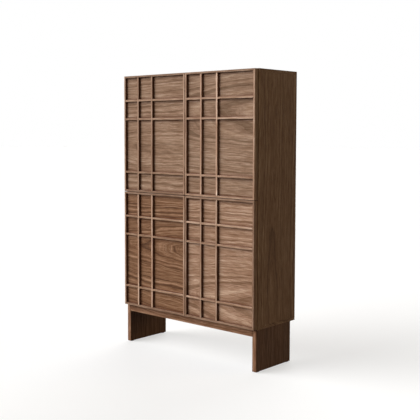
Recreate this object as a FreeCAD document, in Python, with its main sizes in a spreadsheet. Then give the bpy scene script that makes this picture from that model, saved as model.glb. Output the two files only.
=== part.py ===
import FreeCAD, Part
import os
import Sketcher

doc = FreeCAD.newDocument("lattice_cabinet")

# Driving sizes in millimetres. The cabinet stands on z = 0, its front looks along -y
# and its width runs along x.
sizes = [
    ("overall_width", 1100),
    ("overall_depth", 406),
    ("overall_height", 1770),
    # base: two slab legs, two aprons, corner blocks and floor pads
    ("base_height", 250),
    ("leg_width", 30),
    ("leg_front_setback", 25),
    ("leg_back_setback", 45),
    ("leg_ease", 2),
    ("apron_height", 40),
    ("apron_thickness", 22),
    ("tenon_length", 16),
    ("tenon_thickness", 10),
    ("tenon_shoulder", 7),
    ("tenon_clearance", 0.2),
    ("block_leg", 55),
    ("block_height", 34),
    ("glide_width", 22),
    ("glide_height", 4),
    ("glide_setback", 24),
    # carcass boards
    ("side_thickness", 20),
    ("top_thickness", 20),
    ("bottom_thickness", 22),
    ("deck_thickness", 20),
    ("partition_thickness", 18),
    ("back_thickness", 6),
    ("rebate_width", 9),
    ("rebate_clearance", 0.5),
    # loose tongues in the carcass joints
    ("tongue_thickness", 6),
    ("tongue_depth", 8),
    ("tongue_stop", 30),
    ("tongue_clearance", 0.1),
    # shelves let into housings
    ("shelf_thickness", 18),
    ("shelf_front_setback", 22),
    ("shelf_back_gap", 2),
    ("housing_depth", 5),
    ("housing_clearance", 0.1),
    # doors
    ("panel_thickness", 18),
    ("strip_relief", 14),
    ("strip_width", 12.5),
    ("strip_ease", 1),
    ("joint_clearance", 0.2),
    ("lap_clearance", 0.1),
    ("door_gap", 3),
    ("door_spacing", 3),
    ("door_side_reveal", 1),
    ("door_top_reveal", 2),
    ("door_bottom_reveal", 6),
    ("upright_one", 131),
    ("upright_two", 258),
    ("cross_one", 161),
    ("cross_two", 281),
    ("cross_low", 128.5),
    # concealed hinges: a cup let into the door, a cranked arm and a mounting plate
    ("hinge_setback", 110),
    ("cup_radius", 17.5),
    ("cup_depth", 13),
    ("cup_wall", 1),
    ("cup_floor", 1),
    ("cup_edge", 3),
    ("cup_clearance", 0.05),
    ("flange_thickness", 1.2),
    ("flange_half_length", 32),
    ("flange_half_width", 10),
    ("pivot_inset", 7),
    ("pivot_depth", 9.3),
    ("pivot_pin_radius", 1.5),
    ("pivot_clearance", 0.05),
    ("eye_radius", 2.2),
    ("neck_width", 8),
    ("neck_front", 1.6),
    ("neck_back", 1),
    ("neck_reach", 11.5),
    ("neck_turn", 13.5),
    ("neck_rise", 6.8),
    ("lug_half_width", 2.4),
    ("lug_gap", 0.3),
    ("lug_thickness", 1.8),
    ("lug_overlap", 0.5),
    ("arm_thickness", 4),
    ("arm_body_thickness", 9),
    ("arm_body_width", 15),
    ("arm_start", 10),
    ("arm_length", 50),
    ("plate_thickness", 5),
    ("plate_start", 20),
    ("plate_length", 46),
    ("plate_width", 17),
    ("plate_wing_start", 28),
    ("plate_wing_length", 18),
    ("plate_wing_half", 23),
    # push latches let into the front edges of the top and the bottom board
    ("latch_from_middle", 58),
    ("latch_from_edge", 8),
    ("latch_radius", 4.9),
    ("latch_clearance", 0.1),
    ("latch_length", 50),
    ("latch_end_wall", 3),
    ("latch_proud", 1),
    ("plunger_radius", 3),
    ("plunger_clearance", 0.1),
    ("plunger_length", 40),
    ("strike_half_width", 14),
    ("strike_half_height", 7),
    ("strike_thickness", 1),
    ("strike_gap", 0.3),
]
sheet = doc.addObject("Spreadsheet::Sheet", "dims")
for row, (name, value) in enumerate(sizes, start=1):
    sheet.set(f"A{row}", name)
    sheet.set(f"B{row}", str(value))
    sheet.setAlias(f"B{row}", name)
doc.recompute()

x_axis = FreeCAD.Vector(1, 0, 0)
y_axis = FreeCAD.Vector(0, 1, 0)
z_axis = FreeCAD.Vector(0, 0, 1)
along = {
    "x": FreeCAD.Rotation(z_axis, x_axis),
    "y": FreeCAD.Rotation(z_axis, y_axis),
    "z": FreeCAD.Rotation(),
}


def bind(item, **expressions):
    """Tie properties of an object to the driving sizes."""
    for prop, expression in expressions.items():
        item.setExpression(prop, expression)


def put(item, x, y, z):
    """Tie the place of an object to the driving sizes."""
    item.setExpression("Placement.Base.x", x)
    item.setExpression("Placement.Base.y", y)
    item.setExpression("Placement.Base.z", z)


def board(name, x, y, z):
    """A square-edged board between two places along each axis."""
    item = doc.addObject("Part::Box", name)
    bind(
        item,
        Length=f"{x[1]} - {x[0]}",
        Width=f"{y[1]} - {y[0]}",
        Height=f"{z[1]} - {z[0]}",
    )
    put(item, x[0], y[0], z[0])
    return item


def rod(name, radius, length, axis, x, y, z):
    """A round rod that starts at a place and runs along one axis."""
    item = doc.addObject("Part::Cylinder", name)
    item.Placement = FreeCAD.Placement(FreeCAD.Vector(), along[axis])
    bind(item, Radius=radius, Height=length)
    put(item, x, y, z)
    return item


def fused(name, items):
    item = doc.addObject("Part::MultiFuse", name)
    item.Shapes = items
    return item


def less(name, base, tools):
    """A piece with cutters taken out of it."""
    item = doc.addObject("Part::Cut", name)
    item.Base = base
    item.Tool = tools[0] if len(tools) == 1 else fused(f"{name}_cutters", tools)
    return item


def group(name, items):
    """Separate solids that go by one name."""
    item = doc.addObject("Part::Compound", name)
    item.Links = items
    return item


def copy_at(name, source, x, y, z):
    item = group(name, [source])
    put(item, x, y, z)
    return item


def mirrored(name, source):
    """The left-hand twin of a right-hand piece."""
    item = doc.addObject("Part::Mirroring", name)
    item.Source = source
    item.Normal = x_axis
    return item


def sketch_on(body, name, role):
    sketch = body.newObject("Sketcher::SketchObject", name)
    plane = next(item for item in body.Origin.OriginFeatures if item.Role == role)
    sketch.AttachmentSupport = [(plane, "")]
    sketch.MapMode = "FlatFace"
    return sketch


def outline(body, name, role, corners):
    """A closed outline whose corners are all tied to the driving sizes."""
    sketch = sketch_on(body, name, role)
    places = []
    for across, up in corners:
        places.append((sheet.evalExpression(across), sheet.evalExpression(up)))
    count = len(places)
    for start, end in zip(places, places[1:] + places[:1]):
        sketch.addGeometry(
            Part.LineSegment(FreeCAD.Vector(*start, 0), FreeCAD.Vector(*end, 0)), False
        )
    for side in range(count):
        sketch.addConstraint(Sketcher.Constraint("Coincident", side, 2, (side + 1) % count, 1))
    for side, (corner, place) in enumerate(zip(corners, places)):
        for kind, expression, value in zip(("DistanceX", "DistanceY"), corner, place):
            tie = sketch.addConstraint(Sketcher.Constraint(kind, -1, 1, side, 1, value))
            sketch.setExpression(f"Constraints[{tie}]", expression)
    return sketch


def circle(body, name, role, across, up, radius):
    """A circle whose centre and radius are tied to the driving sizes."""
    sketch = sketch_on(body, name, role)
    middle = FreeCAD.Vector(sheet.evalExpression(across), sheet.evalExpression(up), 0)
    size = sheet.evalExpression(radius)
    sketch.addGeometry(Part.Circle(middle, z_axis, size), False)
    ties = [
        (Sketcher.Constraint("DistanceX", -1, 1, 0, 3, middle.x), across),
        (Sketcher.Constraint("DistanceY", -1, 1, 0, 3, middle.y), up),
        (Sketcher.Constraint("Radius", 0, size), radius),
    ]
    for constraint, expression in ties:
        tie = sketch.addConstraint(constraint)
        sketch.setExpression(f"Constraints[{tie}]", expression)
    return sketch


def pad(body, sketch, length, both_ways=False):
    feature = body.newObject("PartDesign::Pad", f"{sketch.Name}_pad")
    feature.Profile = sketch
    feature.SideType = "Symmetric" if both_ways else "One side"
    bind(feature, Length=length)
    return feature


def ease(body, feature, keep, size):
    """Take the sharpness off the edges that keep() picks."""
    doc.recompute()
    names = [f"Edge{n}" for n, edge in enumerate(feature.Shape.Edges, start=1) if keep(edge)]
    chamfer = body.newObject("PartDesign::Chamfer", f"{feature.Name}_ease")
    chamfer.Base = (feature, names)
    bind(chamfer, Size=size)
    return chamfer


def new_body(name):
    return doc.addObject("PartDesign::Body", name)


nodes = []


def node(name, item):
    """Name a finished piece of the assembly."""
    item.Label = name
    nodes.append(item)
    return item


# Places shared by the pieces, from the floor up and from the front back.
right_face = "(dims.overall_width / 2)"
left_face = "(-dims.overall_width / 2)"
front_face = "(-dims.overall_depth / 2)"
back_face = "(dims.overall_depth / 2)"
panel_front = f"({front_face} + dims.strip_relief)"
door_back = f"({panel_front} + dims.panel_thickness)"
carcass_front = f"({door_back} + dims.door_gap)"
inner_back = f"({back_face} - dims.back_thickness)"
carcass_bottom = "dims.base_height"
carcass_top = "dims.overall_height"
floor_top = f"({carcass_bottom} + dims.bottom_thickness)"
roof_bottom = f"({carcass_top} - dims.top_thickness)"
door_height = (
    "((dims.overall_height - dims.base_height - dims.door_top_reveal"
    " - dims.door_bottom_reveal - dims.door_spacing) / 2)"
)
door_width = "((dims.overall_width - dims.door_spacing) / 2 - dims.door_side_reveal)"
lower_door = f"({carcass_bottom} + dims.door_bottom_reveal)"
upper_door = f"({lower_door} + {door_height} + dims.door_spacing)"
deck_bottom = f"({upper_door} - dims.door_spacing / 2 - dims.deck_thickness / 2)"
deck_top = f"({deck_bottom} + dims.deck_thickness)"
right_inner = f"({right_face} - dims.side_thickness)"
left_inner = f"({left_face} + dims.side_thickness)"
partition_right = "(dims.partition_thickness / 2)"
partition_left = "(-dims.partition_thickness / 2)"
side_signs = {"left": "-", "right": ""}
tiers = {
    "lower": (floor_top, deck_bottom, lower_door),
    "upper": (deck_top, roof_bottom, upper_door),
}

# The base stands on two slab legs. Each slab has eased upright arrises and two mortises
# that take the tenons of the front and the rear apron.
leg_front = f"({front_face} + dims.leg_front_setback)"
leg_back = f"({back_face} - dims.leg_back_setback)"
apron_bottom = f"({carcass_bottom} - dims.apron_height)"
leg_inner = f"({right_face} - dims.leg_width)"
apron_places = {
    "front": (leg_front, f"({leg_front} + dims.apron_thickness)"),
    "rear": (f"({leg_back} - dims.apron_thickness)", leg_back),
}


def tenon_places(place, clearance):
    """The depth and height that a tenon or its mortise takes up."""
    middle = f"(({place[0]} + {place[1]}) / 2)"
    half = f"(dims.tenon_thickness / 2 + {clearance})"
    depth = (f"({middle} - {half})", f"({middle} + {half})")
    height = (
        f"({apron_bottom} + dims.tenon_shoulder - {clearance})",
        f"({carcass_bottom} - dims.tenon_shoulder + {clearance})",
    )
    return depth, height


leg_body = new_body("leg_slab")
leg_plan = outline(
    leg_body,
    "leg_plan",
    "XY_Plane",
    [(leg_inner, leg_front), (right_face, leg_front), (right_face, leg_back), (leg_inner, leg_back)],
)
leg_pad = pad(leg_body, leg_plan, "dims.base_height - dims.glide_height")
ease(leg_body, leg_pad, lambda edge: edge.BoundBox.ZLength > edge.BoundBox.XLength, "dims.leg_ease")
bind(leg_body, **{"Placement.Base.z": "dims.glide_height"})
mortises = []
for name, place in apron_places.items():
    depth, height = tenon_places(place, "dims.tenon_clearance")
    mortise_end = f"({leg_inner} + dims.tenon_length + dims.tenon_clearance)"
    mortises.append(board(f"mortise_{name}", (leg_inner, mortise_end), depth, height))
leg_right = node("leg_right", less("leg_right", leg_body, mortises))
node("leg_left", mirrored("leg_left", leg_right))

# Front and rear apron: a rail between the slabs with a tenon on each end.
for name, place in apron_places.items():
    rail = board(f"apron_{name}_rail", (f"(-{leg_inner})", leg_inner), place, (apron_bottom, carcass_bottom))
    depth, height = tenon_places(place, "0")
    tenon_end = f"({leg_inner} + dims.tenon_length)"
    tenon = board(f"apron_{name}_tenons", (f"(-{tenon_end})", tenon_end), depth, height)
    node(f"apron_{name}", fused(f"apron_{name}", [rail, tenon]))

# Three-cornered blocks glued into the inner corners of the base, up against the carcass.
block_x = f"({leg_inner} - dims.block_leg)"
block_items = []
block_fronts = {
    "front": (apron_places["front"][1], f"({apron_places['front'][1]} + dims.block_leg)"),
    "rear": (apron_places["rear"][0], f"({apron_places['rear'][0]} - dims.block_leg)"),
}
for name, (against, away) in block_fronts.items():
    block_body = new_body(f"block_{name}")
    block_plan = outline(
        block_body,
        f"block_{name}_plan",
        "XY_Plane",
        [(leg_inner, against), (leg_inner, away), (block_x, against)],
    )
    pad(block_body, block_plan, "dims.block_height")
    bind(block_body, **{"Placement.Base.z": f"{carcass_bottom} - dims.block_height"})
    block_items += [block_body, mirrored(f"block_{name}_left", block_body)]
node("corner_blocks", group("corner_blocks", block_items))

# Four square pads under the corners of the slabs.
glide_half = "(dims.glide_width / 2)"
glide_span = (f"(-{glide_half})", glide_half)
glide_pad = board("glide_pad", glide_span, glide_span, ("0", "dims.glide_height"))
glides = []
for side, sign in side_signs.items():
    for end, place in (
        ("front", f"{leg_front} + dims.glide_setback"),
        ("rear", f"{leg_back} - dims.glide_setback"),
    ):
        glide_x = f"{sign}({right_face} - dims.leg_width / 2)"
        glides.append(copy_at(f"glide_{side}_{end}", glide_pad, glide_x, place, "0"))
node("floor_glides", group("floor_glides", glides))

# Loose tongues hold the carcass joints. Each is a thin strip of beech, stopped short of
# the front and the back, in a groove that is a little wider and deeper than the strip.
board_cuts = {
    name: []
    for name in (
        "side_left",
        "side_right",
        "top_panel",
        "bottom_panel",
        "middle_deck",
        "partition_upper",
        "partition_lower",
    )
}
tongues = []


def tongue(name, boards, across, joint, upright):
    """One strip over a joint between two boards, and its groove in both."""
    for label, room in ((name, "0"), (f"{name}_groove", "dims.tongue_clearance")):
        half = f"(dims.tongue_thickness / 2 + {room})"
        reach = f"(dims.tongue_depth + {room})"
        thin = (f"({across} - {half})", f"({across} + {half})")
        deep = (f"({joint} - {reach})", f"({joint} + {reach})")
        run = (
            f"({carcass_front} + dims.tongue_stop - {room})",
            f"({inner_back} - dims.tongue_stop + {room})",
        )
        item = board(label, thin, run, deep) if upright else board(label, deep, run, thin)
        if room == "0":
            tongues.append(item)
        else:
            for board_name in boards:
                board_cuts[board_name].append(item)


deck_middle = f"({deck_bottom} + dims.deck_thickness / 2)"
for side, sign in side_signs.items():
    side_name = f"side_{side}"
    side_middle = f"({sign}({right_face} - dims.side_thickness / 2))"
    tongue(f"tongue_floor_{side}", (side_name, "bottom_panel"), side_middle, floor_top, True)
    tongue(f"tongue_roof_{side}", (side_name, "top_panel"), side_middle, roof_bottom, True)
    deck_end = f"({sign}{right_inner})"
    tongue(f"tongue_deck_{side}", (side_name, "middle_deck"), deck_middle, deck_end, False)
tongue("tongue_floor_middle", ("partition_lower", "bottom_panel"), "0", floor_top, True)
tongue("tongue_under_deck", ("partition_lower", "middle_deck"), "0", deck_bottom, True)
tongue("tongue_on_deck", ("partition_upper", "middle_deck"), "0", deck_top, True)
tongue("tongue_roof_middle", ("partition_upper", "top_panel"), "0", roof_bottom, True)
node("carcass_tongues", group("carcass_tongues", tongues))

# A shelf half way up each of the four compartments. Its ends are let into shallow
# housings in the side and the partition.
shelf_front = f"({carcass_front} + dims.shelf_front_setback)"
shelf_near = f"({partition_right} - dims.housing_depth)"
shelf_far = f"({right_inner} + dims.housing_depth)"
for tier, (floor, roof, door_bottom) in tiers.items():
    middle = f"(({floor} + {roof}) / 2)"
    for side in side_signs:
        for kind, room in (("shelf", "0"), ("housing", "dims.housing_clearance")):
            label = f"{kind}_{tier}_{side}"
            near = f"({shelf_near} - {room})"
            far = f"({shelf_far} + {room})"
            half = f"(dims.shelf_thickness / 2 + {room})"
            width = (near, far) if side == "right" else (f"(-{far})", f"(-{near})")
            shelf_back = f"({inner_back} - dims.shelf_back_gap)" if room == "0" else inner_back
            item = board(
                label,
                width,
                (f"({shelf_front} - {room})", shelf_back),
                (f"({middle} - {half})", f"({middle} + {half})"),
            )
            if room == "0":
                node(label, item)
            else:
                board_cuts[f"side_{side}"].append(item)
                board_cuts[f"partition_{tier}"].append(item)

# Push latches: a tube let into the front edge of the top or the bottom board, standing a
# little proud of it, with a sprung plunger inside.
latch_heights = {
    "lower": f"({lower_door} + dims.latch_from_edge)",
    "upper": f"({upper_door} + {door_height} - dims.latch_from_edge)",
}
tube_front = f"({carcass_front} - dims.latch_proud)"
plunger_tip = f"({door_back} + dims.strike_thickness + dims.strike_gap)"
housings = []
for tier, z in latch_heights.items():
    host = "bottom_panel" if tier == "lower" else "top_panel"
    for side, sign in side_signs.items():
        tag = f"{tier}_{side}"
        x = f"{sign}dims.latch_from_middle"
        bore_radius = "dims.latch_radius + dims.latch_clearance"
        bore = rod(f"latch_bore_{tag}", bore_radius, "dims.latch_length", "y", x, carcass_front, z)
        board_cuts[host].append(bore)
        tube_length = "(dims.latch_proud + dims.latch_length)"
        tube = rod(f"latch_tube_{tag}", "dims.latch_radius", tube_length, "y", x, tube_front, z)
        barrel = rod(
            f"latch_barrel_{tag}",
            "dims.plunger_radius + dims.plunger_clearance",
            f"{tube_length} - dims.latch_end_wall",
            "y",
            x,
            tube_front,
            z,
        )
        housings.append(less(f"latch_housing_{tag}", tube, [barrel]))
        plunger = rod(
            f"latch_plunger_{tag}", "dims.plunger_radius", "dims.plunger_length", "y", x, plunger_tip, z
        )
        node(f"latch_plunger_{tag}", plunger)
node("latch_housings", group("latch_housings", housings))

# Carcass boards. The top and the bottom run the full width and the sides stand between
# them. All four are rebated at the back for the back panel.
carcass_depth = (carcass_front, back_face)
inner_depth = (carcass_front, inner_back)
rebate_depth = (inner_back, back_face)
back_right = f"({right_inner} + dims.rebate_width)"
back_bottom = f"({floor_top} - dims.rebate_width)"
back_top = f"({roof_bottom} + dims.rebate_width)"
back_width = (f"(-{back_right})", back_right)
rebate = board("back_rebate", back_width, rebate_depth, (back_bottom, back_top))
full_width = (left_face, right_face)
inner_width = (left_inner, right_inner)
side_height = (floor_top, roof_bottom)
partition_width = (partition_left, partition_right)
carcass_boards = {
    "side_left": ((left_face, left_inner), carcass_depth, side_height, True),
    "side_right": ((right_inner, right_face), carcass_depth, side_height, True),
    "top_panel": (full_width, carcass_depth, (roof_bottom, carcass_top), True),
    "bottom_panel": (full_width, carcass_depth, (carcass_bottom, floor_top), True),
    "middle_deck": (inner_width, inner_depth, (deck_bottom, deck_top), False),
    "partition_upper": (partition_width, inner_depth, (deck_top, roof_bottom), False),
    "partition_lower": (partition_width, inner_depth, (floor_top, deck_bottom), False),
}
for name, (x, y, z, rebated) in carcass_boards.items():
    plain = board(f"{name}_board", x, y, z)
    cutters = board_cuts[name] + ([rebate] if rebated else [])
    node(name, less(name, plain, cutters))
back_edge = f"({back_right} - dims.rebate_clearance)"
back_height = (f"({back_bottom} + dims.rebate_clearance)", f"({back_top} - dims.rebate_clearance)")
node("back_panel", board("back_panel", (f"(-{back_edge})", back_edge), rebate_depth, back_height))

# Concealed hinge, right-hand pattern. Its own origin is on the outer edge and the back
# face of the door. The arm is cranked round the edge of the side board, and its eye turns
# on a pin riveted between two lugs inside the cup, so the door swings clear of the carcass.
pivot_x = "(-dims.pivot_inset)"
pivot_y = "(-dims.pivot_depth)"
cup_x = "(-dims.cup_edge - dims.cup_radius)"
plate_face = "(-dims.side_thickness + dims.door_side_reveal)"
arm_face = f"({plate_face} - dims.plate_thickness)"
arm_end = "(dims.door_gap + dims.arm_start + dims.arm_length)"

arm_body = new_body("arm")
neck_front = f"({pivot_y} - dims.neck_front)"
neck_back = f"({pivot_y} + dims.neck_back)"
neck_plan = outline(
    arm_body,
    "neck_plan",
    "XY_Plane",
    [
        (pivot_x, neck_front),
        (f"{pivot_x} - dims.neck_turn", neck_front),
        (f"{arm_face} - dims.arm_thickness", f"{neck_front} + dims.neck_rise"),
        (f"{arm_face} - dims.arm_thickness", arm_end),
        (arm_face, arm_end),
        (arm_face, f"{neck_back} + dims.neck_rise"),
        (f"{pivot_x} - dims.neck_reach", neck_back),
        (pivot_x, neck_back),
    ],
)
pad(arm_body, neck_plan, "dims.neck_width", both_ways=True)
eye_plan = circle(arm_body, "eye_plan", "XY_Plane", pivot_x, pivot_y, "dims.eye_radius")
pad(arm_body, eye_plan, "dims.neck_width", both_ways=True)
arm_top = f"({arm_face} - dims.arm_body_thickness)"
arm_front = "(dims.door_gap + dims.arm_start)"
bar_plan = outline(
    arm_body,
    "bar_plan",
    "XY_Plane",
    [(arm_top, arm_front), (arm_face, arm_front), (arm_face, arm_end), (arm_top, arm_end)],
)
pad(arm_body, bar_plan, "dims.arm_body_width", both_ways=True)
pin_bore = circle(
    arm_body, "pin_bore", "XY_Plane", pivot_x, pivot_y, "dims.pivot_pin_radius + dims.pivot_clearance"
)
bore = arm_body.newObject("PartDesign::Pocket", "arm_bore")
bore.Profile = pin_bore
bore.SideType = "Symmetric"
bind(bore, Length="dims.neck_width * 2")

plate_width = ("(-dims.plate_width / 2)", "(dims.plate_width / 2)")
plate_start = "(dims.door_gap + dims.plate_start)"
wing_start = "(dims.door_gap + dims.plate_wing_start)"
plate_strip = board(
    "plate_strip", (arm_face, plate_face), (plate_start, f"({plate_start} + dims.plate_length)"), plate_width
)
plate_wings = board(
    "plate_wings",
    (arm_face, plate_face),
    (wing_start, f"({wing_start} + dims.plate_wing_length)"),
    ("(-dims.plate_wing_half)", "dims.plate_wing_half"),
)
plate = fused("plate", [plate_strip, plate_wings])

lug_inner = "(dims.neck_width / 2 + dims.lug_gap)"
lug_outer = f"({lug_inner} + dims.lug_thickness)"
cup_outside = rod(
    "cup_outside",
    "dims.cup_radius",
    "dims.cup_depth + dims.flange_thickness",
    "y",
    cup_x,
    "-dims.cup_depth",
    "0",
)
cup_flange = board(
    "cup_flange",
    (f"({cup_x} - dims.flange_half_width)", f"({cup_x} + dims.flange_half_width)"),
    ("0", "dims.flange_thickness"),
    ("(-dims.flange_half_length)", "dims.flange_half_length"),
)
cup_inside = rod(
    "cup_inside",
    "dims.cup_radius - dims.cup_wall",
    "dims.cup_depth - dims.cup_floor + dims.flange_thickness",
    "y",
    cup_x,
    "dims.cup_floor - dims.cup_depth",
    "0",
)
cup_shell = less("cup_shell", fused("cup_blank", [cup_outside, cup_flange]), [cup_inside])
lug_x = (f"({pivot_x} - dims.lug_half_width)", f"({pivot_x} + dims.lug_half_width)")
lug_y = ("(dims.cup_floor - dims.lug_overlap - dims.cup_depth)", f"({pivot_y} + dims.lug_half_width)")
lug_top = board("lug_top", lug_x, lug_y, (lug_inner, lug_outer))
lug_low = board("lug_low", lug_x, lug_y, (f"(-{lug_outer})", f"(-{lug_inner})"))
pivot_pin = rod(
    "pivot_pin", "dims.pivot_pin_radius", f"2 * {lug_outer}", "z", pivot_x, pivot_y, f"-{lug_outer}"
)
cup = fused("cup", [cup_shell, lug_top, lug_low, pivot_pin])

hinge_pieces = {
    "right": {"plate": plate, "arm": arm_body, "cup": cup},
    "left": {},
}
for kind, piece in hinge_pieces["right"].items():
    hinge_pieces["left"][kind] = mirrored(f"{kind}_left_hand", piece)

# Two hinges for each door, at one distance from its top and from its bottom edge.
placed = {"plate": [], "arm": []}
cups = {}
hinge_x = f"({right_face} - dims.door_side_reveal)"
for tier, (floor, roof, door_bottom) in tiers.items():
    hinge_heights = {
        "low": f"({door_bottom} + dims.hinge_setback)",
        "high": f"({door_bottom} + {door_height} - dims.hinge_setback)",
    }
    for side, sign in side_signs.items():
        cups[tier, side] = []
        for level, z in hinge_heights.items():
            for kind, piece in hinge_pieces[side].items():
                tag = f"{kind}_{tier}_{side}_{level}"
                item = copy_at(tag, piece, f"{sign}{hinge_x}", door_back, z)
                if kind == "cup":
                    cups[tier, side].append(item)
                else:
                    placed[kind].append(item)
node("hinge_plates", group("hinge_plates", placed["plate"]))
node("hinge_arms", group("hinge_arms", placed["arm"]))

# Lattice pieces of a door, in the door's own frame: x from its left edge, y from the
# front of its panel, z from its bottom edge. The two uprights run through and the three
# cross strips are half-lapped into them, all flush with a mitred edge frame.
lattice_end = "(dims.strip_width + dims.joint_clearance)"
half_lap = "(dims.strip_width / 2 + dims.lap_clearance)"
lap_depth = "(dims.strip_relief / 2)"
strip_front = "(-dims.strip_relief)"
cross_heights = [
    "dims.cross_low",
    f"({door_height} - dims.cross_two)",
    f"({door_height} - dims.cross_one)",
]
upright_places = ["dims.upright_one", "dims.upright_two"]


def front_arris(edge):
    """The long edges on the front face of a strip."""
    box = edge.BoundBox
    at_front = abs(box.YMin + sheet.strip_relief) < sheet.lap_clearance and box.YLength < sheet.lap_clearance
    square = min(box.XLength, box.ZLength) < sheet.lap_clearance
    return at_front and square and edge.Length > 2 * sheet.strip_width


def strip(name, role, corners, length):
    body = new_body(name)
    blank = pad(body, outline(body, f"{name}_shape", role, corners), length)
    ease(body, blank, front_arris, "dims.strip_ease")
    return body


upright_shape = [("0", lattice_end)]
for middle in cross_heights:
    upright_shape += [
        ("0", f"{middle} - {half_lap}"),
        (f"-{lap_depth} - dims.lap_clearance", f"{middle} - {half_lap}"),
        (f"-{lap_depth} - dims.lap_clearance", f"{middle} + {half_lap}"),
        ("0", f"{middle} + {half_lap}"),
    ]
upright_shape += [
    ("0", f"{door_height} - {lattice_end}"),
    (strip_front, f"{door_height} - {lattice_end}"),
    (strip_front, lattice_end),
]
cross_shape = [
    (lattice_end, "0"),
    (f"{door_width} - {lattice_end}", "0"),
    (f"{door_width} - {lattice_end}", strip_front),
]
for middle in reversed(upright_places):
    cross_shape += [
        (f"{middle} + {half_lap}", strip_front),
        (f"{middle} + {half_lap}", f"-{lap_depth}"),
        (f"{middle} - {half_lap}", f"-{lap_depth}"),
        (f"{middle} - {half_lap}", strip_front),
    ]
cross_shape += [(lattice_end, strip_front)]
mitre = "dims.strip_width"
far_mitre = f"{door_width} - {mitre}"
high_mitre = f"{door_height} - {mitre}"
stile_shapes = {
    "left": [("0", "0"), (mitre, mitre), (mitre, high_mitre), ("0", door_height)],
    "right": [(door_width, "0"), (door_width, door_height), (far_mitre, high_mitre), (far_mitre, mitre)],
}
rail_shapes = {
    "bottom": [("0", "0"), (door_width, "0"), (far_mitre, mitre), (mitre, mitre)],
    "top": [("0", door_height), (mitre, high_mitre), (far_mitre, high_mitre), (door_width, door_height)],
}
upright_strip = strip("upright", "YZ_Plane", upright_shape, "dims.strip_width")
cross_strip = strip("cross", "XY_Plane", cross_shape, "dims.strip_width")
stiles = {
    name: strip(f"stile_{name}", "XZ_Plane", corners, "dims.strip_relief")
    for name, corners in stile_shapes.items()
}
rails = {
    name: strip(f"rail_{name}", "XZ_Plane", corners, "dims.strip_relief")
    for name, corners in rail_shapes.items()
}

# Four doors. The lattice has the same hand on all four, and the hinge side is the
# outer edge. Each door has a panel bored for two cups, the lattice, the cups and the
# plate that its latch works against.
for tier, (floor, roof, door_bottom) in tiers.items():
    for side, sign in side_signs.items():
        tag = f"{tier}_{side}"
        door_left = "(dims.door_spacing / 2)" if side == "right" else f"(-{hinge_x})"
        blank = board(
            f"door_{tag}_board",
            (door_left, f"({door_left} + {door_width})"),
            (panel_front, door_back),
            (door_bottom, f"({door_bottom} + {door_height})"),
        )
        bores = []
        for level, z in (
            ("low", f"({door_bottom} + dims.hinge_setback)"),
            ("high", f"({door_bottom} + {door_height} - dims.hinge_setback)"),
        ):
            bores.append(
                rod(
                    f"cup_bore_{tag}_{level}",
                    "dims.cup_radius + dims.cup_clearance",
                    "dims.cup_depth + dims.cup_clearance",
                    "y",
                    f"{sign}({hinge_x} + {cup_x})",
                    f"{door_back} - dims.cup_depth - dims.cup_clearance",
                    z,
                )
            )
        node(f"door_{tag}_panel", less(f"door_{tag}_panel", blank, bores))
        frame_pieces = {"stiles": [], "rails": [], "uprights": [], "crosses": []}
        for kind, sources in (("stiles", stiles), ("rails", rails)):
            for end, source in sources.items():
                frame_pieces[kind].append(
                    copy_at(f"{tag}_{kind}_{end}", source, door_left, panel_front, door_bottom)
                )
        for number, middle in enumerate(upright_places, start=1):
            x = f"{door_left} + {middle} - dims.strip_width / 2"
            frame_pieces["uprights"].append(
                copy_at(f"{tag}_upright_{number}", upright_strip, x, panel_front, door_bottom)
            )
        for number, middle in enumerate(cross_heights, start=1):
            z = f"{door_bottom} + {middle} - dims.strip_width / 2"
            frame_pieces["crosses"].append(
                copy_at(f"{tag}_cross_{number}", cross_strip, door_left, panel_front, z)
            )
        for kind, pieces in frame_pieces.items():
            node(f"door_{tag}_{kind}", group(f"door_{tag}_{kind}", pieces))
        node(f"door_{tag}_hinge_cups", group(f"door_{tag}_hinge_cups", cups[tier, side]))
        strike_x = f"({sign}dims.latch_from_middle)"
        strike = board(
            f"door_{tag}_strike",
            (f"({strike_x} - dims.strike_half_width)", f"({strike_x} + dims.strike_half_width)"),
            (door_back, f"({door_back} + dims.strike_thickness)"),
            (
                f"({latch_heights[tier]} - dims.strike_half_height)",
                f"({latch_heights[tier]} + dims.strike_half_height)",
            ),
        )
        node(f"door_{tag}_strike", strike)

doc.recompute()
for item in doc.Objects:
    if "Invalid" in item.State or "Error" in item.State:
        raise RuntimeError(f"{item.Name} did not build: {item.State}")
os.makedirs("parts", exist_ok=True)
for item in nodes:
    if item.Shape.isNull() or not item.Shape.isValid():
        raise RuntimeError(f"{item.Label} has no valid shape")
    item.Shape.exportStep(f"parts/{item.Label}.step")
    print(item.Label, len(item.Shape.Solids), round(item.Shape.Volume))
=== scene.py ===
import math

import bmesh
import bpy
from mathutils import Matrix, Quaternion, Vector


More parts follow.
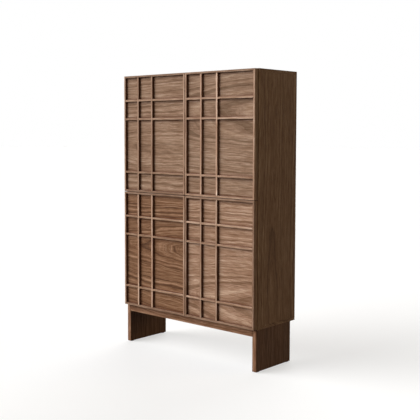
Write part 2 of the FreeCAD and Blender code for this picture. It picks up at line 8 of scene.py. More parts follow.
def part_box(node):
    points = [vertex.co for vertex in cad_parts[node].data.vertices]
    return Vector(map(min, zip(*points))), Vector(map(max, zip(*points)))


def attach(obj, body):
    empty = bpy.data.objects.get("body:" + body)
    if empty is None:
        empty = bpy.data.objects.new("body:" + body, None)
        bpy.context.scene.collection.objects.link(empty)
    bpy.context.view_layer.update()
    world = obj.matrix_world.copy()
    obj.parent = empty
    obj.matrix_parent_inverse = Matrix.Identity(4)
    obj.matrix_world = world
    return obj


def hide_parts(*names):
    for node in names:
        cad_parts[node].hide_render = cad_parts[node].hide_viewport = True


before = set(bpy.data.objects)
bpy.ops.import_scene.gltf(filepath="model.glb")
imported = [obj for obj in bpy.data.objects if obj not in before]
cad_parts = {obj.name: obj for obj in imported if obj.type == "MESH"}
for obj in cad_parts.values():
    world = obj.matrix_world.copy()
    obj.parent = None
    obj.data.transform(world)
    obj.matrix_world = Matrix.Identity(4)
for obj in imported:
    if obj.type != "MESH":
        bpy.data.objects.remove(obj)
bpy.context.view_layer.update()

# The two slab legs are walnut boards on end, mortised for the aprons, with a paler lipping
# glued on in front. Their corners are rounded over and oiled, which leaves a soft, low sheen.
leg_tones = ("#4e3524", "#654733", "#795b48")
base_front_tones = ("#664630", "#835e46", "#9a755b")
leg_hearts = {"left": (0.4, 0.05, -0.51), "right": (0.4, 0.05, 0.56)}
leg_arris = 0.0012
leg_lip = 0.004


def linear(colour):
    """An sRGB hex colour as linear light."""
    parts = [int(colour[place : place + 2], 16) / 255 for place in (1, 3, 5)]
    light = [part / 12.92 if part <= 0.04045 else ((part + 0.055) / 1.055) ** 2.4 for part in parts]
    return (*light, 1.0)


def add(tree, kind, sockets, **settings):
    """Add one node, set its properties, and fill its sockets with values or links."""
    node = tree.nodes.new(kind)
    for name, value in settings.items():
        setattr(node, name, value)
    for name, value in sockets.items():
        if isinstance(value, bpy.types.NodeSocket):
            tree.links.new(value, node.inputs[name])
        else:
            node.inputs[name].default_value = value
    return node


def unfinished(name):
    """A new material with nothing on it yet."""
    material = bpy.data.materials.new(name)
    material.use_nodes = True
    material.node_tree.nodes.clear()
    return material


def timber(name, grain, tones, heart, ring=0.009, sheen=0.56, corner_shade=0.6, lean=0.0):
    """Sawn and oiled wood, cut from a log that wanders, so the rings make lines and arches.

    grain names the axes that run along, across and through the board. tones are late wood,
    heartwood and early wood. heart is where the middle of the log lies, in the grain's order,
    and lean is how steeply the log slopes through the board, which closes the arches.
    A real ring is 2 to 4 mm wide and a pore 0.3 mm. Both are drawn about three times as wide,
    so that the figure shows at the size of the photograph.
    sheen is the roughness of the oiled face. The next setting is how dark the shade painted
    into the inner corners is, from 0 to 1. Along the outer edges the oil has rubbed off, so
    they are a little paler and smoother."""
    late, middle, early = (linear(tone) for tone in tones)
    material = unfinished(name)
    tree = material.node_tree
    place = add(tree, "ShaderNodeTexCoord", {}).outputs["Object"]
    axes = add(tree, "ShaderNodeSeparateXYZ", {0: place}).outputs
    order = {socket: axes["xyz".index(axis)] for socket, axis in enumerate(grain)}
    turned_board = add(tree, "ShaderNodeCombineXYZ", order).outputs[0]
    board = add(
        tree, "ShaderNodeVectorMath", {0: turned_board, 1: heart}, operation="SUBTRACT"
    ).outputs[0]

    def drawn(length, width, detail):
        """Noise drawn out along the grain, with spots of this length and width in metres."""
        size = (1 / length, 1 / width, 1 / width)
        spots = add(tree, "ShaderNodeVectorMath", {0: board, 1: size}, operation="MULTIPLY")
        sockets = {"Vector": spots.outputs[0], "Scale": 1.0, "Detail": detail}
        return add(tree, "ShaderNodeTexNoise", sockets).outputs

    # The log slopes, bends over its length, and bends a little more every hand's breadth.
    # Along the log its rings change only slowly.
    slope = (lean, 0.0, 0.0)
    along = 0.03
    rise = add(tree, "ShaderNodeVectorMath", {0: board, 1: slope}, operation="DOT_PRODUCT")
    sloped = add(tree, "ShaderNodeCombineXYZ", {2: rise.outputs["Value"]}).outputs[0]
    log = add(tree, "ShaderNodeVectorMath", {0: board, 1: sloped}, operation="ADD").outputs[0]
    for length, width, detail, reach in (
        (1.3, 0.22, 3.0, (0.0, 0.11, 0.08)),
        (0.15, 0.05, 2.0, (0.0, 0.024, 0.018)),
    ):
        bend = drawn(length, width, detail)["Color"]
        centred = add(
            tree, "ShaderNodeVectorMath", {0: bend, 1: (0.5, 0.5, 0.5)}, operation="SUBTRACT"
        )
        moved = add(
            tree, "ShaderNodeVectorMath", {0: centred.outputs[0], 1: reach}, operation="MULTIPLY"
        )
        log = add(
            tree, "ShaderNodeVectorMath", {0: log, 1: moved.outputs[0]}, operation="ADD"
        ).outputs[0]
    squeezed = add(
        tree, "ShaderNodeVectorMath", {0: log, 1: (along, 1.0, 1.0)}, operation="MULTIPLY"
    )
    radius = add(tree, "ShaderNodeVectorMath", {0: squeezed.outputs[0]}, operation="LENGTH")
    rings = add(
        tree, "ShaderNodeMath", {0: radius.outputs["Value"], 1: ring}, operation="DIVIDE"
    ).outputs[0]

    # No two years are alike, so the rings run from late to early wood by chance.
    bands_per_ring = 0.55
    late_until, middle_at, early_from = 0.33, 0.47, 0.65
    band_place = add(
        tree, "ShaderNodeMath", {0: rings, 1: bands_per_ring}, operation="MULTIPLY"
    ).outputs[0]
    bands = add(
        tree,
        "ShaderNodeTexNoise",
        {"W": band_place, "Scale": 1.0, "Detail": 4.0, "Roughness": 0.7},
        noise_dimensions="1D",
    )
    ramp = add(tree, "ShaderNodeValToRGB", {0: bands.outputs["Fac"]})
    stops = ramp.color_ramp.elements
    stops[0].position = late_until
    stops[0].color = late
    stops[1].position = early_from
    stops[1].color = early
    stops.new(middle_at).color = middle

    # A thin dark line closes some of the rings.
    lines_per_ring = 1.3
    line_level = 0.47
    line_width = 0.03
    line_depth = 0.45
    line_noise = add(
        tree,
        "ShaderNodeTexNoise",
        {"W": rings, "Scale": lines_per_ring, "Detail": 1.0},
        noise_dimensions="1D",
    ).outputs["Fac"]
    past_line = add(tree, "ShaderNodeMath", {0: line_noise, 1: line_level}, operation="SUBTRACT")
    off_line = add(tree, "ShaderNodeMath", {0: past_line.outputs[0]}, operation="ABSOLUTE")
    line = add(
        tree,
        "ShaderNodeMapRange",
        {
            "Value": off_line.outputs[0],
            "From Min": 0.0,
            "From Max": line_width,
            "To Min": line_depth,
            "To Max": 0.0,
        },
        interpolation_type="SMOOTHSTEP",
    ).outputs[0]
    lined = add(
        tree, "ShaderNodeMix", {0: line, 6: ramp.outputs[0], 7: late}, data_type="RGBA"
    ).outputs[2]

    # Fibres and broader streaks lie along the grain. Dense wood takes away more green and
    # blue than red, so it is redder as well as darker.
    green_power, blue_power = 1.3, 1.6
    fibre = drawn(0.06, 0.004, 2.0)["Fac"]
    shade = 1.0
    for noise, least, most, darkest, palest in (
        (fibre, 0.25, 0.75, 0.82, 1.16),
        (drawn(0.30, 0.06, 3.0)["Fac"], 0.3, 0.7, 0.85, 1.13),
        (drawn(0.08, 0.006, 3.0)["Fac"], 0.3, 0.7, 0.72, 1.23),
    ):
        streak = add(
            tree,
            "ShaderNodeMapRange",
            {
                "Value": noise,
                "From Min": least,
                "From Max": most,
                "To Min": darkest,
                "To Max": palest,
            },
        ).outputs[0]
        shade = add(tree, "ShaderNodeMath", {0: shade, 1: streak}, operation="MULTIPLY").outputs[0]
    green, blue = (
        add(tree, "ShaderNodeMath", {0: shade, 1: power}, operation="POWER").outputs[0]
        for power in (green_power, blue_power)
    )
    density = add(tree, "ShaderNodeCombineXYZ", {0: shade, 1: green, 2: blue}).outputs[0]
    shaded = add(
        tree, "ShaderNodeVectorMath", {0: lined, 1: density}, operation="MULTIPLY"
    ).outputs[0]

    # The pores are short open grooves that hold a little dark oil.
    pore_shade = 0.35
    pores = add(
        tree,
        "ShaderNodeMapRange",
        {
            "Value": drawn(0.022, 0.0009, 1.0)["Fac"],
            "From Min": 0.60,
            "From Max": 0.70,
            "To Min": 0.0,
            "To Max": 0.55,
        },
        interpolation_type="SMOOTHSTEP",
    ).outputs[0]
    pore_oil = (*(channel * pore_shade for channel in late[:3]), 1.0)
    porous = add(
        tree, "ShaderNodeMix", {0: pores, 6: shaded, 7: pore_oil}, data_type="RGBA"
    ).outputs[2]

    # Shade is painted into the inner corners in a dark red-brown, and hands rub the outer edges.
    corner_shade_colour = linear("#481a06")
    corner_reach = 0.019
    edge_reach = 0.0018
    edge_wear = 0.45
    open_air = add(tree, "ShaderNodeAmbientOcclusion", {"Distance": corner_reach}, samples=8)
    corner = add(
        tree,
        "ShaderNodeMapRange",
        {
            "Value": open_air.outputs["AO"],
            "From Min": 0.35,
            "From Max": 0.95,
            "To Min": corner_shade,
            "To Max": 0.0,
        },
    ).outputs[0]
    corner_shaded = add(
        tree, "ShaderNodeMix", {0: corner, 6: porous, 7: corner_shade_colour}, data_type="RGBA"
    ).outputs[2]
    within = add(
        tree, "ShaderNodeAmbientOcclusion", {"Distance": edge_reach}, samples=6, inside=True
    )
    rubbed = add(
        tree,
        "ShaderNodeMapRange",
        {
            "Value": within.outputs["AO"],
            "From Min": 0.45,
            "From Max": 0.85,
            "To Min": edge_wear,
            "To Max": 0.0,
        },
    ).outputs[0]
    colour = add(
        tree, "ShaderNodeMix", {0: rubbed, 6: corner_shaded, 7: early}, data_type="RGBA"
    ).outputs[2]

    # Fibres take the oil unevenly, and where the edges are rubbed they shine a little more.
    rubbed_gloss = -0.2
    oiled = add(
        tree,
        "ShaderNodeMapRange",
        {
            "Value": fibre,
            "From Min": 0.25,
            "From Max": 0.75,
            "To Min": sheen + 0.08,
            "To Max": sheen - 0.06,
        },
    ).outputs[0]
    roughness = add(
        tree, "ShaderNodeMath", {0: rubbed, 1: rubbed_gloss, 2: oiled}, operation="MULTIPLY_ADD"
    ).outputs[0]
    relief = add(tree, "ShaderNodeMath", {0: fibre, 1: pores}, operation="SUBTRACT").outputs[0]
    bump = add(tree, "ShaderNodeBump", {"Height": relief, "Strength": 0.35, "Distance": 0.0004})
    surface = add(
        tree,
        "ShaderNodeBsdfPrincipled",
        {
            "Base Color": colour,
            "Roughness": roughness,
            "IOR": 1.5,
            "Specular IOR Level": 0.08,
            "Normal": bump.outputs[0],
        },
    )
    add(tree, "ShaderNodeOutputMaterial", {"Surface": surface.outputs[0]})
    return material


def placed(name, data):
    """Stand a mesh, a lamp or a camera in the scene."""
    thing = bpy.data.objects.new(name, data)
    bpy.context.scene.collection.objects.link(thing)
    return thing


def dressed(name, arris, wood, body="carcass", lipping=None):
    """A board as it leaves the bench: its sharp edges rounded over, in the plain one's place.

    lipping is the wood glued over the ends that face left and right, where there is one."""
    weld = 1e-6
    flat = math.radians(1)
    corner = math.radians(30)
    shortest = 0.012
    sideways = 0.5
    board = bmesh.new()
    board.from_mesh(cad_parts[name].data)
    bmesh.ops.remove_doubles(board, verts=board.verts, dist=weld)
    bmesh.ops.dissolve_limit(board, angle_limit=flat, verts=board.verts, edges=board.edges)
    sharp = [
        edge
        for edge in board.edges
        if edge.is_manifold
        and edge.is_convex
        and edge.calc_face_angle() > corner
        and edge.calc_length() > shortest
    ]
    bmesh.ops.bevel(
        board, geom=sharp, offset=arris, segments=2, profile=0.5, affect="EDGES", clamp_overlap=True
    )
    mesh = bpy.data.meshes.new(f"{name}_dressed")
    board.to_mesh(mesh)
    board.free()
    mesh.materials.append(wood)
    if lipping:
        mesh.materials.append(lipping)
        for face in mesh.polygons:
            face.material_index = int(abs(face.normal.x) > sideways)
    piece = placed(f"{name}_dressed", mesh)
    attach(piece, body)
    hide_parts(name)
    return piece


def lipped(board, wood, depth):
    """Glue a strip of solid wood, this deep, along the front edge of a board."""
    mesh = bmesh.new()
    mesh.from_mesh(board.data)
    seam = min(vert.co.y for vert in mesh.verts) + depth
    whole = mesh.verts[:] + mesh.edges[:] + mesh.faces[:]
    bmesh.ops.bisect_plane(mesh, geom=whole, plane_co=(0.0, seam, 0.0), plane_no=(0.0, 1.0, 0.0))
    for face in mesh.faces:
        face.material_index = int(face.calc_center_median().y < seam)
    mesh.to_mesh(board.data)
    mesh.free()
    board.data.materials.append(wood)


leg_lipping = timber("walnut_leg_lipping", "zxy", base_front_tones, heart=(0.4, 0.1, -0.4))
for side, heart in leg_hearts.items():
    leg_wood = timber(f"walnut_leg_{side}", "zyx", leg_tones, heart)
    lipped(dressed(f"leg_{side}", leg_arris, leg_wood), leg_lipping, leg_lip)

# The aprons are walnut rails between the legs, tenoned and glued. The front one carries the
# lower edge of the cabinet's face, so its grain runs the same way as the doors', and it is
# cut from the same paler board as the lippings of the legs.
apron_wood = timber("walnut_apron", "xzy", base_front_tones, heart=(0.2, 0.16, -0.06))
for end in ("front", "rear"):
    dressed(f"apron_{end}", leg_arris, apron_wood)

# Beech blocks glued into the inner corners stiffen the base. They are sawn, not oiled,
# so they stay pale and dry. The tongues in the carcass joints are of the same wood.
beech_tones = ("#b08a66", "#c49f7b", "#d3b393")
block_arris = 0.0008
beech = timber("beech_sawn", "xyz", beech_tones, heart=(0.0, 0.3, 0.1), ring=0.005, sheen=0.72)
dressed("corner_blocks", block_arris, beech)
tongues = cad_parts["carcass_tongues"].data
tongues.materials.clear()
tongues.materials.append(beech)

# Four square pads of dark moulded plastic are pressed on under the legs. Their edges are
# rounded so that they slide, and the mould leaves a fine, even grit.
pad_colour = "#2b2723"
pad_arris = 0.0014
pad_grit = 0.0006
pad_roughness = 0.55


def moulded(name, colour, grit, roughness):
    """Moulded plastic: one colour right through, dulled by the grit of the mould.

    The grit is drawn a few times as coarse as it is, so that it shows close up."""
    cloud_size = 1 / 60
    noise_range = {"From Min": 0.3, "From Max": 0.7}
    material = unfinished(name)
    tree = material.node_tree
    place = add(tree, "ShaderNodeTexCoord", {}).outputs["Object"]
    grain, cloud = (
        add(
            tree, "ShaderNodeTexNoise", {"Vector": place, "Scale": 1 / size, "Detail": 2.0}
        ).outputs["Fac"]
        for size in (grit, cloud_size)
    )
    shade = add(
        tree, "ShaderNodeMapRange", {"Value": cloud, **noise_range, "To Min": 0.9, "To Max": 1.1}
    ).outputs[0]
    tint = add(
        tree, "ShaderNodeVectorMath", {0: linear(colour)[:3], "Scale": shade}, operation="SCALE"
    )
    gloss = add(
        tree,
        "ShaderNodeMapRange",
        {
            "Value": grain,
            **noise_range,
            "To Min": roughness - 0.05,
            "To Max": roughness + 0.08,
        },
    )
    bump = add(tree, "ShaderNodeBump", {"Height": grain, "Strength": 0.3, "Distance": 0.0002})
    surface = add(
        tree,
        "ShaderNodeBsdfPrincipled",
        {
            "Base Color": tint.outputs[0],
            "Roughness": gloss.outputs[0],
            "IOR": 1.46,
            "Normal": bump.outputs[0],
        },
    )
    add(tree, "ShaderNodeOutputMaterial", {"Surface": surface.outputs[0]})
    return material


pad_plastic = moulded("plastic_pad", pad_colour, pad_grit, pad_roughness)
dressed("floor_glides", pad_arris, pad_plastic)

# The carcass is veneered board with a solid, slightly paler lipping on every front edge. The
# top, bottom and deck have their grain across the cabinet, the sides and partitions upright.
# The shelves are let into housings in the uprights.
carcass_tones = ("#70543f", "#8b6c56", "#a1836d")
lip_tones = ("#83644c", "#9f7f66", "#b6977f")
board_arris = 0.0006
board_lip = 0.012
door_tags = ("lower_left", "lower_right", "upper_left", "upper_right")
level_lipping = timber("walnut_lipping_level", "xzy", lip_tones, heart=(0.2, 0.7, 0.1))
upright_lipping = timber("walnut_lipping_upright", "zxy", lip_tones, heart=(0.8, 0.2, 0.1))
level_wood = timber("walnut_carcass_level", "xyz", carcass_tones, heart=(0.3, 0.12, 0.5))
for name in ("top_panel", "bottom_panel", "middle_deck"):
    lipped(dressed(name, board_arris, level_wood), level_lipping, board_lip)
upright_wood = {
    "side_left": timber("walnut_side_left", "zyx", carcass_tones, heart=(0.9, 0.06, -0.45)),
    "side_right": timber("walnut_side_right", "zyx", carcass_tones, heart=(0.7, -0.03, 0.46)),
    "partition_lower": timber("walnut_partition", "zyx", carcass_tones, heart=(0.5, 0.02, 0.1)),
}
upright_wood["partition_upper"] = upright_wood["partition_lower"]
for name, wood in upright_wood.items():
    lipped(dressed(name, board_arris, wood), upright_lipping, board_lip)
shelf_wood = timber("walnut_shelf", "xyz", carcass_tones, heart=(0.1, -0.05, 0.9))
for tag in door_tags:
    shelf = dressed(f"shelf_{tag}", board_arris, shelf_wood)
    lipped(shelf, level_lipping, board_lip)

# The back is a thin veneered panel, set into a rebate and screwed round its edge and along
# the deck and the partitions. It is dressed less than the rest, since it faces the wall.
back_tones = ("#7a6350", "#8d7561", "#9d8671")
back_arris = 0.0004
back_wood = timber("walnut_back", "zxy", back_tones, heart=(0.6, 0.1, 0.05), sheen=0.62)
dressed("back_panel", back_arris, back_wood)

# Push latches hold the doors. Each is a grey moulded tube with a thin collar, and inside it
# a sprung plunger with a rounded tip and one groove, which moves with its own joint.
latch_colour = "#8b8983"
latch_grit = 0.0005
latch_roughness = 0.42
latch_plastic = moulded("plastic_latch", latch_colour, latch_grit, latch_roughness)


def turned(name, profile, centres, material):
    """Round pieces along y: profile is (radius, distance) from each centre, first to last."""
    steps = 32
    smooth = math.radians(35)
    lathe = bmesh.new()
    for centre in centres:
        rings = []
        for radius, distance in profile:
            ring = []
            for step in range(steps):
                angle = 2 * math.pi * step / steps
                offset = Vector((radius * math.cos(angle), distance, radius * math.sin(angle)))
                ring.append(lathe.verts.new(Vector(centre) + offset))
            rings.append(ring)
        for near, far in zip(rings, rings[1:]):
            for step in range(steps):
                after = (step + 1) % steps
                lathe.faces.new((near[step], near[after], far[after], far[step]))
        lathe.faces.new(rings[0])
        lathe.faces.new(rings[-1])
    bmesh.ops.recalc_face_normals(lathe, faces=lathe.faces)
    mesh = bpy.data.meshes.new(name)
    lathe.to_mesh(mesh)
    lathe.free()
    mesh.materials.append(material)
    mesh.shade_smooth()
    mesh.set_sharp_from_angle(angle=smooth)
    return placed(name, mesh)


plunger_boxes = {tag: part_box(f"latch_plunger_{tag}") for tag in door_tags}
housing_low, housing_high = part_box("latch_housings")
tip_round = 0.0009
groove = 0.0002
collar_centres = []
for tag, (low, high) in plunger_boxes.items():
    middle = (low + high) / 2
    plunger_radius = (high.x - low.x) / 2
    collar_centres.append((middle.x, housing_low.y, middle.z))
    plunger_profile = [
        (plunger_radius - 2.2 * tip_round, 0.0),
        (plunger_radius - 1.2 * tip_round, 0.15 * tip_round),
        (plunger_radius - 0.5 * tip_round, 0.45 * tip_round),
        (plunger_radius, tip_round),
        (plunger_radius, 4 * tip_round),
        (plunger_radius - groove, 4.2 * tip_round),
        (plunger_radius - groove, 5.2 * tip_round),
        (plunger_radius, 5.4 * tip_round),
        (plunger_radius, high.y - low.y),
    ]
    tip = (middle.x, low.y, middle.z)
    plunger = turned(f"plunger_{tag}", plunger_profile, [tip], latch_plastic)
    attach(plunger, f"plunger_{tag}")
    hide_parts(f"latch_plunger_{tag}")
collar_radius = 0.0062
collar_rise = 0.0007
tube_radius = 0.0049
tube_length = housing_high.y - housing_low.y
barrel_gap = 0.0001
barrel_radius = plunger_radius + barrel_gap
end_wall = 0.003
housing_profile = [
    (barrel_radius, tube_length - end_wall),
    (barrel_radius, collar_rise / 2),
    (barrel_radius + collar_rise / 2, 0.0),
    (collar_radius - collar_rise / 2, 0.0),
    (collar_radius, collar_rise / 2),
    (collar_radius, collar_rise),
    (tube_radius, collar_rise),
    (tube_radius, tube_length),
]
housings = turned("latch_tubes", housing_profile, collar_centres, latch_plastic)
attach(housings, "carcass")
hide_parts("latch_housings")

# Each concealed hinge has a pressed plate screwed to the side board and a cranked arm on it.
# Both are nickel-plated steel, bright but not polished, with soft pressed edges.
nickel_colour = "#c4bdb0"
nickel_roughness = 0.30
press_arris = 0.0005


def plated(name, colour, roughness):
    """Nickel plate over pressed steel: a warm grey metal with a faint cloud in its gloss."""
    cloud_size = 0.012
    noise_range = {"From Min": 0.3, "From Max": 0.7}
    material = unfinished(name)
    tree = material.node_tree
    place = add(tree, "ShaderNodeTexCoord", {}).outputs["Object"]
    cloud = add(
        tree, "ShaderNodeTexNoise", {"Vector": place, "Scale": 1 / cloud_size, "Detail": 4.0}
    ).outputs["Fac"]
    gloss = add(
        tree,
        "ShaderNodeMapRange",
        {
            "Value": cloud,
            **noise_range,
            "To Min": roughness - 0.06,
            "To Max": roughness + 0.10,
        },
    )
    shade = add(
        tree, "ShaderNodeMapRange", {"Value": cloud, **noise_range, "To Min": 1.05, "To Max": 0.88}
    ).outputs[0]
    tint = add(
        tree, "ShaderNodeVectorMath", {0: linear(colour)[:3], "Scale": shade}, operation="SCALE"
    )
    surface = add(
        tree,
        "ShaderNodeBsdfPrincipled",
        {"Base Color": tint.outputs[0], "Metallic": 1.0, "Roughness": gloss.outputs[0]},
    )
    add(tree, "ShaderNodeOutputMaterial", {"Surface": surface.outputs[0]})
    return material


nickel = plated("nickel_plate", nickel_colour, nickel_roughness)
dressed("hinge_plates", press_arris, nickel)
dressed("hinge_arms", press_arris, nickel)

# Small cross-head screws fix the hinge plates, the back and the corner blocks, and one on
# each hinge arm sets the door. The pan heads are pressed steel with a tapered cross recess.
screw_colour = "#aaa49a"
screw_roughness = 0.36
screw_steel = plated("steel_screw", screw_colour, screw_roughness)


def screw_head():
    """A pan head of radius 1 that stands on z = 0, with a cross recess in its top."""
    steps = 24
    rim = ((1.0, 0.0), (1.0, 0.16), (0.86, 0.36), (0.66, 0.44))
    arm = 0.15
    reach = 0.50
    recess_depth = 0.26
    recess_taper = 0.72
    head = bmesh.new()
    rings = []
    for radius, height in rim:
        ring = []
        for step in range(steps):
            angle = 2 * math.pi * step / steps
            corner = (radius * math.cos(angle), radius * math.sin(angle), height)
            ring.append(head.verts.new(corner))
        rings.append(ring)
    for lower, upper in zip(rings, rings[1:]):
        for step in range(steps):
            after = (step + 1) % steps
            head.faces.new((lower[step], lower[after], upper[after], upper[step]))
    head.faces.new(rings[0])
    quarter = ((reach, -arm), (reach, arm), (arm, arm))
    top = rim[-1][1]
    mouth = []
    bottom = []
    for turn in range(4):
        for x, y in quarter:
            for _ in range(turn):
                x, y = -y, x
            mouth.append(head.verts.new((x, y, top)))
            bottom.append(head.verts.new((x * recess_taper, y * recess_taper, top - recess_depth)))
    edge_loop = []
    for loop in (rings[-1], mouth):
        for here, there in zip(loop, loop[1:] + loop[:1]):
            edge_loop.append(head.edges.get((here, there)) or head.edges.new((here, there)))
    bmesh.ops.triangle_fill(head, edges=edge_loop, use_beauty=True)
    for step in range(len(mouth)):
        after = (step + 1) % len(mouth)
        head.faces.new((mouth[step], mouth[after], bottom[after], bottom[step]))
    head.faces.new(bottom)
    bmesh.ops.recalc_face_normals(head, faces=head.faces)
    mesh = bpy.data.meshes.new("screw_head")
    head.to_mesh(mesh)
    head.free()
    return bpy.data.objects.new("screw_head", mesh)


def screw_layout():
    """Geometry nodes that set a head on every point, facing out and turned by chance."""
    tree = bpy.data.node_groups.new("screw_layout", "GeometryNodeTree")
    for name, kind in (
        ("Places", "NodeSocketGeometry"),
        ("Head", "NodeSocketObject"),
        ("Head Radius", "NodeSocketFloat"),
        ("Turn Seed", "NodeSocketInt"),
        ("Finish", "NodeSocketMaterial"),
    ):
        tree.interface.new_socket(name=name, in_out="INPUT", socket_type=kind)
    tree.interface.new_socket(name="Screws", in_out="OUTPUT", socket_type="NodeSocketGeometry")
    given = add(tree, "NodeGroupInput", {}).outputs
    head = add(tree, "GeometryNodeObjectInfo", {"Object": given["Head"]})
    facing = add(
        tree, "GeometryNodeInputNamedAttribute", {"Name": "facing"}, data_type="FLOAT_VECTOR"
    )
    aligned = add(
        tree, "FunctionNodeAlignRotationToVector", {"Vector": facing.outputs["Attribute"]}, axis="Z"
    )
    chance = add(
        tree,
        "FunctionNodeRandomValue",
        {"Min": (0.0, 0.0, 0.0), "Max": (0.0, 0.0, math.pi), "Seed": given["Turn Seed"]},
        data_type="FLOAT_VECTOR",
    )
    spin = add(tree, "FunctionNodeEulerToRotation", {"Euler": chance.outputs["Value"]})
    rotation = add(
        tree,
        "FunctionNodeRotateRotation",
        {"Rotation": aligned.outputs[0], "Rotate By": spin.outputs[0]},
        rotation_space="LOCAL",
    )
    heads = add(
        tree,
        "GeometryNodeInstanceOnPoints",
        {
            "Points": given["Places"],
            "Instance": head.outputs["Geometry"],
            "Rotation": rotation.outputs[0],
            "Scale": given["Head Radius"],
        },
    )
    solid = add(tree, "GeometryNodeRealizeInstances", {"Geometry": heads.outputs[0]})
    finished = add(
        tree, "GeometryNodeSetMaterial", {"Geometry": solid.outputs[0], "Material": given["Finish"]}
    )
    add(tree, "NodeGroupOutput", {"Screws": finished.outputs[0]})
    return tree


head_pattern = screw_head()
layout_tree = screw_layout()


def screws(name, places, radius, seed, body):
    """Screws at (place, facing) pairs, as one plain mesh on one body."""
    points = bpy.data.meshes.new(name)
    points.from_pydata([place for place, _ in places], [], [])
    facing = points.attributes.new("facing", "FLOAT_VECTOR", "POINT")
    for item, (_, way) in zip(facing.data, places):
        item.vector = way
    piece = placed(name, points)
    layout = piece.modifiers.new("screw_layout", "NODES")
    layout.node_group = layout_tree
    given = {"Head": head_pattern, "Head Radius": radius, "Turn Seed": seed, "Finish": screw_steel}
    for socket in layout_tree.interface.items_tree:
        if socket.name in given:
            layout[socket.identifier] = given[socket.name]
    graph = bpy.context.evaluated_depsgraph_get()
    solid = bpy.data.meshes.new_from_object(piece.evaluated_get(graph))
    piece.modifiers.clear()
    piece.data = solid
    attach(piece, body)


cup_boxes = {tag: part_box(f"door_{tag}_hinge_cups") for tag in door_tags}
flange_half = 0.032
plate_thickness = 0.005
plate_screw_radius = 0.0036
wing_middle = 0.037
wing_screw_out = 0.016
arm_rise = 0.009
arm_screw_back = 0.010
inner_face = -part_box("side_right")[0].x
wing_screw_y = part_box("side_left")[0].y + wing_middle
arm_screw_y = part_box("hinge_arms")[1].y - arm_screw_back
plate_places = []
arm_places = []
for tag, (low, high) in cup_boxes.items():
    inward = 1.0 if tag.endswith("left") else -1.0
    plate_x = inward * (inner_face + plate_thickness)
    arm_x = plate_x + inward * arm_rise
    for height in (low.z + flange_half, high.z - flange_half):
        for up in (wing_screw_out, -wing_screw_out):
            plate_places.append(((plate_x, wing_screw_y, height + up), (inward, 0, 0)))
        arm_places.append(((arm_x, arm_screw_y, height), (inward, 0, 0)))
screws("hinge_plate_screws", plate_places, plate_screw_radius, seed=3, body="carcass")
screws("hinge_arm_screws", arm_places, plate_screw_radius, seed=5, body="carcass")

back_low, back_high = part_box("back_panel")
deck_low, deck_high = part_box("middle_deck")
back_screw_radius = 0.0032
back_edge = 0.005
back_pitch = 0.17
across = back_high.x - back_edge
lowest = back_low.z + back_edge
highest = back_high.z - back_edge
deck_middle = (deck_low.z + deck_high.z) / 2
columns = math.ceil(2 * across / back_pitch)
rows = math.ceil((highest - lowest) / back_pitch)
back_places = []
for step in range(columns + 1):
    x = -across + 2 * across * step / columns
    for z in (lowest, deck_middle, highest):
        back_places.append(((x, back_high.y, z), (0, 1, 0)))
for step in range(1, rows):
    z = lowest + (highest - lowest) * step / rows
    for x in (-across, 0.0, across):
        back_places.append(((x, back_high.y, z), (0, 1, 0)))
screws("back_screws", back_places, back_screw_radius, seed=7, body="carcass")

block_low, block_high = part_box("corner_blocks")
block_inset = 0.018
block_places = []
for x in (block_low.x + block_inset, block_high.x - block_inset):
    for y in (block_low.y + block_inset, block_high.y - block_inset):
        block_places.append(((x, y, block_low.z), (0, 0, -1)))
screws("block_screws", block_places, plate_screw_radius, seed=9, body="carcass")

# Four doors, each a veneered panel with its grain across and its own leaf of veneer, so no
# two match. Part of the difference between the leaves is painted light and shade, which
# darkens the lower left door and lightens the lower right one. The ends are lipped, and a
# lattice of oiled strips, sorted by tone, is glued on in front. The strips are paler partly
# as painted light, and the lower right door's dark stiles are painted shade. The hinge cups
# and the latch plate are screwed to the back.
veneer = {
    "upper_left": (("#735742", "#8f715a", "#a48670"), (0.64, 1.30, -0.138), 0.04),
    "upper_right": (("#715742", "#8d705b", "#a2856e"), (6.86, 1.52, -0.6524), 0.09),
    "lower_left": (("#503320", "#765339", "#9a755a"), (0.69, 0.66, -0.252), 0.13),
    "lower_right": (("#7c5d47", "#9a7861", "#b3937b"), (7.62, 0.39, -0.812), 0.10),
}
# The paler sorts are partly painted light.
strip_tones = {
    "pale": ("#ab8971", "#c09c84", "#d4b39b"),
    "middling": ("#93745e", "#a6846d", "#b79881"),
    "tan": ("#876953", "#997860", "#a98a72"),
    "dark": ("#7b5f4b", "#8c6d58", "#9a7e69"),
}
strip_sort = {
    "upper_left": {
        "stiles": "middling", "uprights": "middling", "rails": "dark", "crosses": "tan",
    },
    "upper_right": {
        "stiles": "middling", "uprights": "pale", "rails": "dark", "crosses": "middling",
    },
    "lower_left": {
        "stiles": "middling", "uprights": "pale", "rails": "dark", "crosses": "tan",
    },
    # Its stiles take the dark sort, which is painted shade.
    "lower_right": {
        "stiles": "dark", "uprights": "middling", "rails": "dark", "crosses": "middling",
    },
}
low_rail_sort = {"upper_right": "middling"}
strip_cuts = {"upright": ("zxy", (0.3, 0.8, 0.02)), "level": ("xzy", (0.1, 2.3, 0.02))}
strip_sheen = 0.46
end_heart = (0.2, -0.25, 0.5)
panel_arris = 0.0008
strip_arris = 0.0004
fitting_arris = press_arris / 2
# The doors' inner corners carry the deepest painted shade.
corner_dark = 0.95
strip_wood = {}
for shade, tones in strip_tones.items():
    for way, (grain, heart) in strip_cuts.items():
        strip_wood[shade, way] = timber(
            f"walnut_strip_{shade}_{way}",
            grain,
            tones,
            heart,
            sheen=strip_sheen,
            corner_shade=corner_dark,
        )
flange_screw_out = 0.0245
flange_screw_radius = 0.0032
strike_screw_inset = 0.0045
strike_screw_radius = 0.0022
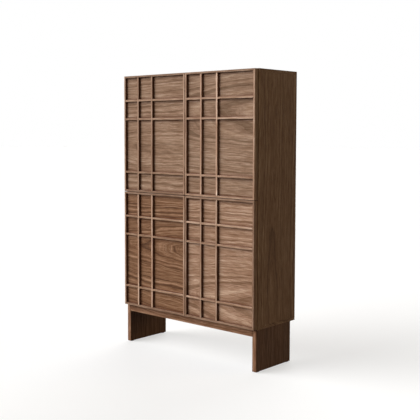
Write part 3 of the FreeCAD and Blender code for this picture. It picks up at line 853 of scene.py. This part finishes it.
for tag, (tones, heart, lean) in veneer.items():
    body = f"door_{tag}"
    leaf = timber(f"walnut_veneer_{tag}", "xzy", tones, heart, corner_shade=corner_dark, lean=lean)
    end_wood = timber(f"walnut_lipping_{tag}", "zyx", tones, end_heart, corner_shade=corner_dark)
    dressed(f"{body}_panel", panel_arris, leaf, body, end_wood)
    for kind, shade in strip_sort[tag].items():
        way = "upright" if kind in ("stiles", "uprights") else "level"
        strip = strip_wood[shade, way]
        strips = dressed(f"{body}_{kind}", strip_arris, strip, body)
        if kind == "rails" and tag in low_rail_sort:
            low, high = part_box(f"{body}_panel")
            strips.data.materials.append(strip_wood[low_rail_sort[tag], way])
            for face in strips.data.polygons:
                face.material_index = int(face.center.z < (low.z + high.z) / 2)
    dressed(f"{body}_hinge_cups", fitting_arris, nickel, body)
    dressed(f"{body}_strike", fitting_arris, nickel, body)
    low, high = cup_boxes[tag]
    middle = (low.x + high.x) / 2
    cup_places = []
    for height in (low.z + flange_half, high.z - flange_half):
        for up in (flange_screw_out, -flange_screw_out):
            cup_places.append(((middle, high.y, height + up), (0, 1, 0)))
    screws(f"cup_screws_{tag}", cup_places, flange_screw_radius, seed=11, body=body)
    low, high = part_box(f"{body}_strike")
    strike_places = []
    for x in (low.x + strike_screw_inset, high.x - strike_screw_inset):
        strike_places.append(((x, high.y, (low.z + high.z) / 2), (0, 1, 0)))
    screws(f"strike_screws_{tag}", strike_places, strike_screw_radius, seed=13, body=body)

bpy.data.objects.remove(head_pattern)

# The stage is a pale paper floor that runs out of sight and keeps the shadow. A wide, soft
# light stands to the left in front, a weak warm one behind on the right, which leaves that
# side in shade, and a soft one behind on the left, so that the back can be seen.
floor_reach = 60.0
floor_drop = 0.0003
floor_corners = ((-1, -1), (1, -1), (1, 1), (-1, 1))
floor_mesh = bpy.data.meshes.new("floor")
floor_mesh.from_pydata(
    [(x * floor_reach, y * floor_reach, -floor_drop) for x, y in floor_corners], [], [(0, 1, 2, 3)]
)
floor = placed("floor", floor_mesh)


def seen(tree):
    """1 for rays that show the background to the eye, in a mirror or through glass."""
    path = add(tree, "ShaderNodeLightPath", {}).outputs
    shown = path["Is Camera Ray"]
    for ray in ("Is Glossy Ray", "Is Transmission Ray"):
        wider = add(tree, "ShaderNodeMath", {0: shown, 1: path[ray]}, operation="MAXIMUM")
        shown = wider.outputs[0]
    return shown


# The paper and the room are white to the eye, but throw little light on the cabinet.
paper_colour = "#aaaaaa"
paper_glow = 0.58
bounce_colour = "#595550"
white = "#ffffff"
floor_paper = unfinished("floor_paper")
tree = floor_paper.node_tree
pale = add(tree, "ShaderNodeBsdfDiffuse", {"Color": linear(paper_colour)})
glow = add(tree, "ShaderNodeEmission", {"Color": linear(white), "Strength": paper_glow})
paper = add(tree, "ShaderNodeAddShader", {0: pale.outputs[0], 1: glow.outputs[0]})
dull = add(tree, "ShaderNodeBsdfDiffuse", {"Color": linear(bounce_colour)})
both = add(tree, "ShaderNodeMixShader", {0: seen(tree), 1: dull.outputs[0], 2: paper.outputs[0]})
add(tree, "ShaderNodeOutputMaterial", {"Surface": both.outputs[0]})
floor_mesh.materials.append(floor_paper)

room_colour = "#ffe9c3"
room_light = 0.05
world = bpy.data.worlds.new("studio")
bpy.context.scene.world = world
world.use_nodes = True
tree = world.node_tree
tree.nodes.clear()
room = add(tree, "ShaderNodeBackground", {"Color": linear(room_colour), "Strength": room_light})
sky = add(tree, "ShaderNodeBackground", {"Color": linear(white), "Strength": 1.0})
both = add(tree, "ShaderNodeMixShader", {0: seen(tree), 1: room.outputs[0], 2: sky.outputs[0]})
add(tree, "ShaderNodeOutputWorld", {"Surface": both.outputs[0]})

for name, towards, colour, strength, softness in (
    ("key_light", (-0.63, -0.64, 0.44), white, 4.8, 60),
    ("side_light", (0.62, 0.70, 0.35), "#ffe5ae", 0.55, 30),
    ("back_light", (-0.42, 0.80, 0.43), white, 2.4, 50),
):
    lamp = bpy.data.lights.new(name, "SUN")
    lamp.color = linear(colour)[:3]
    lamp.energy = strength
    lamp.angle = math.radians(softness)
    light = placed(name, lamp)
    light.rotation_euler = Vector(towards).to_track_quat("Z", "Y").to_euler()

# The camera stands where the photograph was taken from: in front, well to the right, 1.4 m up.
camera_place = (3.4154, -3.8151, 1.4009)
camera_yaw = math.radians(-41.592)
camera_pitch = math.radians(-3.703)
camera_roll = math.radians(0.157)
lens = bpy.data.cameras.new("camera")
lens.sensor_width = 36.0
lens.lens = 69.04
lens.shift_y = -0.06
lens.clip_end = 200.0
camera = placed("camera", lens)
camera.location = camera_place
looking = Vector(
    (
        math.sin(camera_yaw) * math.cos(camera_pitch),
        math.cos(camera_yaw) * math.cos(camera_pitch),
        math.sin(camera_pitch),
    )
)
level = looking.to_track_quat("-Z", "Y")
camera.rotation_euler = (level @ Quaternion((0.0, 0.0, 1.0), camera_roll)).to_euler()
bpy.context.scene.camera = camera
bpy.context.scene.view_settings.view_transform = "Standard"
